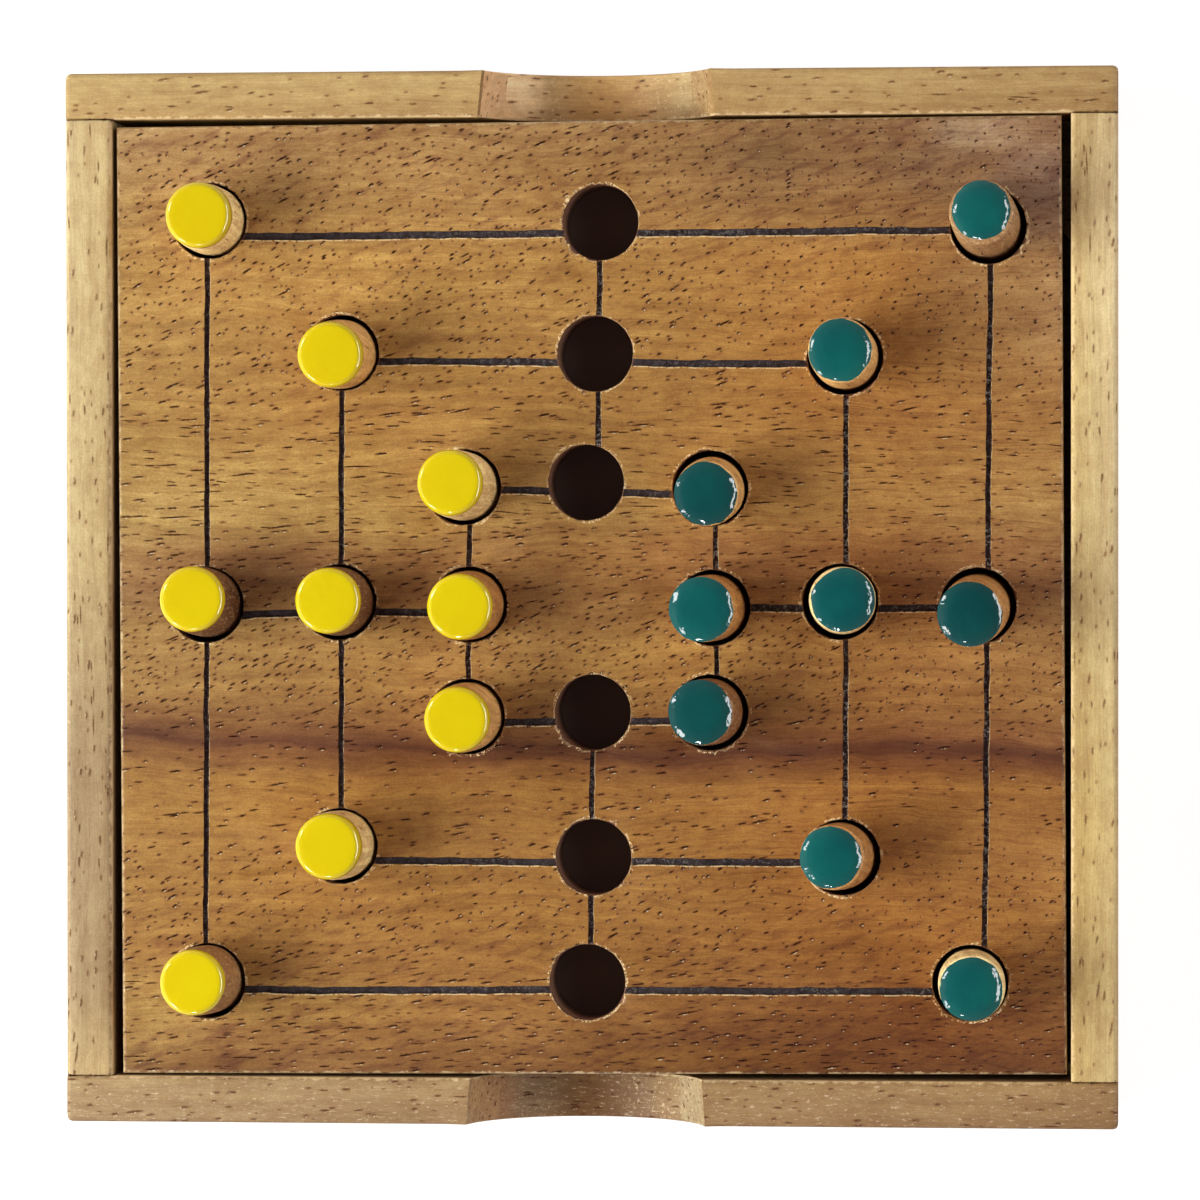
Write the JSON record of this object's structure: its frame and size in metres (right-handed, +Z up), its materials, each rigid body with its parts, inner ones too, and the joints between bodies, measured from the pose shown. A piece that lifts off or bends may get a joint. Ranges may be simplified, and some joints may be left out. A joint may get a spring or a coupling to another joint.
{
  "type": "wooden strategy board game",
  "caption": "Square wooden box frame with finger scoops, holding a drilled morris board engraved with nested squares and set with loose painted dowel pegs.",
  "frame": {"origin": "middle of the underside of the box, on the surface that it stands on", "axes": "+X to the right as the game is read in the picture, +Y towards the back wall, +Z up out of the board"},
  "size_m": [0.14, 0.14, 0.0408],
  "materials": {
    "back_wall": "sanded hardwood, waxed, satin",
    "front_wall": "sanded hardwood, waxed, satin",
    "left_wall": "sanded hardwood, waxed, satin",
    "right_wall": "sanded hardwood, waxed, satin",
    "floor_panel": "thin bare plywood",
    "corner_blocks": "bare sawn wood",
    "game_board": "sanded hardwood, oiled, with dark engraved lines",
    "yellow_pegs": "dowel with a glossy yellow enamel head",
    "green_pegs": "dowel with a glossy green enamel head"
  },
  "bodies": {
    "box": {"back_wall": "back_wall", "front_wall": "front_wall", "left_wall": "left_wall", "right_wall": "right_wall", "floor_panel": "floor_panel", "corner_block_back_left": "corner_blocks", "corner_block_back_right": "corner_blocks", "corner_block_front_left": "corner_blocks", "corner_block_front_right": "corner_blocks"},
    "board": {"game_board": "game_board"},
    "yellow_peg_1": {"yellow_peg_1": "yellow_pegs"},
    "yellow_peg_2": {"yellow_peg_2": "yellow_pegs"},
    "yellow_peg_3": {"yellow_peg_3": "yellow_pegs"},
    "yellow_peg_4": {"yellow_peg_4": "yellow_pegs"},
    "yellow_peg_5": {"yellow_peg_5": "yellow_pegs"},
    "yellow_peg_6": {"yellow_peg_6": "yellow_pegs"},
    "yellow_peg_7": {"yellow_peg_7": "yellow_pegs"},
    "yellow_peg_8": {"yellow_peg_8": "yellow_pegs"},
    "yellow_peg_9": {"yellow_peg_9": "yellow_pegs"},
    "green_peg_1": {"green_peg_1": "green_pegs"},
    "green_peg_2": {"green_peg_2": "green_pegs"},
    "green_peg_3": {"green_peg_3": "green_pegs"},
    "green_peg_4": {"green_peg_4": "green_pegs"},
    "green_peg_5": {"green_peg_5": "green_pegs"},
    "green_peg_6": {"green_peg_6": "green_pegs"},
    "green_peg_7": {"green_peg_7": "green_pegs"},
    "green_peg_8": {"green_peg_8": "green_pegs"},
    "green_peg_9": {"green_peg_9": "green_pegs"}
  },
  "joints": [
    {"name": "board_lift", "type": "slide", "parent": "box", "child": "board", "axis": [0, 0, 1], "range_m": [0, 0.05]},
    {"name": "yellow_peg_1_lift", "type": "slide", "parent": "board", "child": "yellow_peg_1", "axis": [0.0118, 0.0118, 0.9999], "range_m": [0, 0.03]},
    {"name": "yellow_peg_2_lift", "type": "slide", "parent": "board", "child": "yellow_peg_2", "axis": [-0.0059, -0.0353, 0.9994], "range_m": [0, 0.03]},
    {"name": "yellow_peg_3_lift", "type": "slide", "parent": "board", "child": "yellow_peg_3", "axis": [-0.0353, 0.0294, 0.9989], "range_m": [0, 0.03]},
    {"name": "yellow_peg_4_lift", "type": "slide", "parent": "board", "child": "yellow_peg_4", "axis": [-0.0118, 0.0529, 0.9985], "range_m": [0, 0.03]},
    {"name": "yellow_peg_5_lift", "type": "slide", "parent": "board", "child": "yellow_peg_5", "axis": [0, 0.0176, 0.9998], "range_m": [0, 0.03]},
    {"name": "yellow_peg_6_lift", "type": "slide", "parent": "board", "child": "yellow_peg_6", "axis": [-0.0059, -0.0118, 0.9999], "range_m": [0, 0.03]},
    {"name": "yellow_peg_7_lift", "type": "slide", "parent": "board", "child": "yellow_peg_7", "axis": [-0.0118, -0.0059, 0.9999], "range_m": [0, 0.03]},
    {"name": "yellow_peg_8_lift", "type": "slide", "parent": "board", "child": "yellow_peg_8", "axis": [-0.0118, 0.0294, 0.9995], "range_m": [0, 0.03]},
    {"name": "yellow_peg_9_lift", "type": "slide", "parent": "board", "child": "yellow_peg_9", "axis": [-0.0235, 0.0353, 0.9991], "range_m": [0, 0.03]},
    {"name": "green_peg_1_lift", "type": "slide", "parent": "board", "child": "green_peg_1", "axis": [-0.0412, 0.0706, 0.9967], "range_m": [0, 0.03]},
    {"name": "green_peg_2_lift", "type": "slide", "parent": "board", "child": "green_peg_2", "axis": [-0.0059, 0.0294, 0.9996], "range_m": [0, 0.03]},
    {"name": "green_peg_3_lift", "type": "slide", "parent": "board", "child": "green_peg_3", "axis": [0.0176, -0.0471, 0.9987], "range_m": [0, 0.03]},
    {"name": "green_peg_4_lift", "type": "slide", "parent": "board", "child": "green_peg_4", "axis": [-0.0471, -0.0588, 0.9972], "range_m": [0, 0.03]},
    {"name": "green_peg_5_lift", "type": "slide", "parent": "board", "child": "green_peg_5", "axis": [0.0471, 0.0235, 0.9986], "range_m": [0, 0.03]},
    {"name": "green_peg_6_lift", "type": "slide", "parent": "board", "child": "green_peg_6", "axis": [-0.0412, -0.0059, 0.9991], "range_m": [0, 0.03]},
    {"name": "green_peg_7_lift", "type": "slide", "parent": "board", "child": "green_peg_7", "axis": [-0.0294, 0.0176, 0.9994], "range_m": [0, 0.03]},
    {"name": "green_peg_8_lift", "type": "slide", "parent": "board", "child": "green_peg_8", "axis": [-0.0529, 0.0353, 0.998], "range_m": [0, 0.03]},
    {"name": "green_peg_9_lift", "type": "slide", "parent": "board", "child": "green_peg_9", "axis": [0.0294, 0.0118, 0.9995], "range_m": [0, 0.03]}
  ]
}
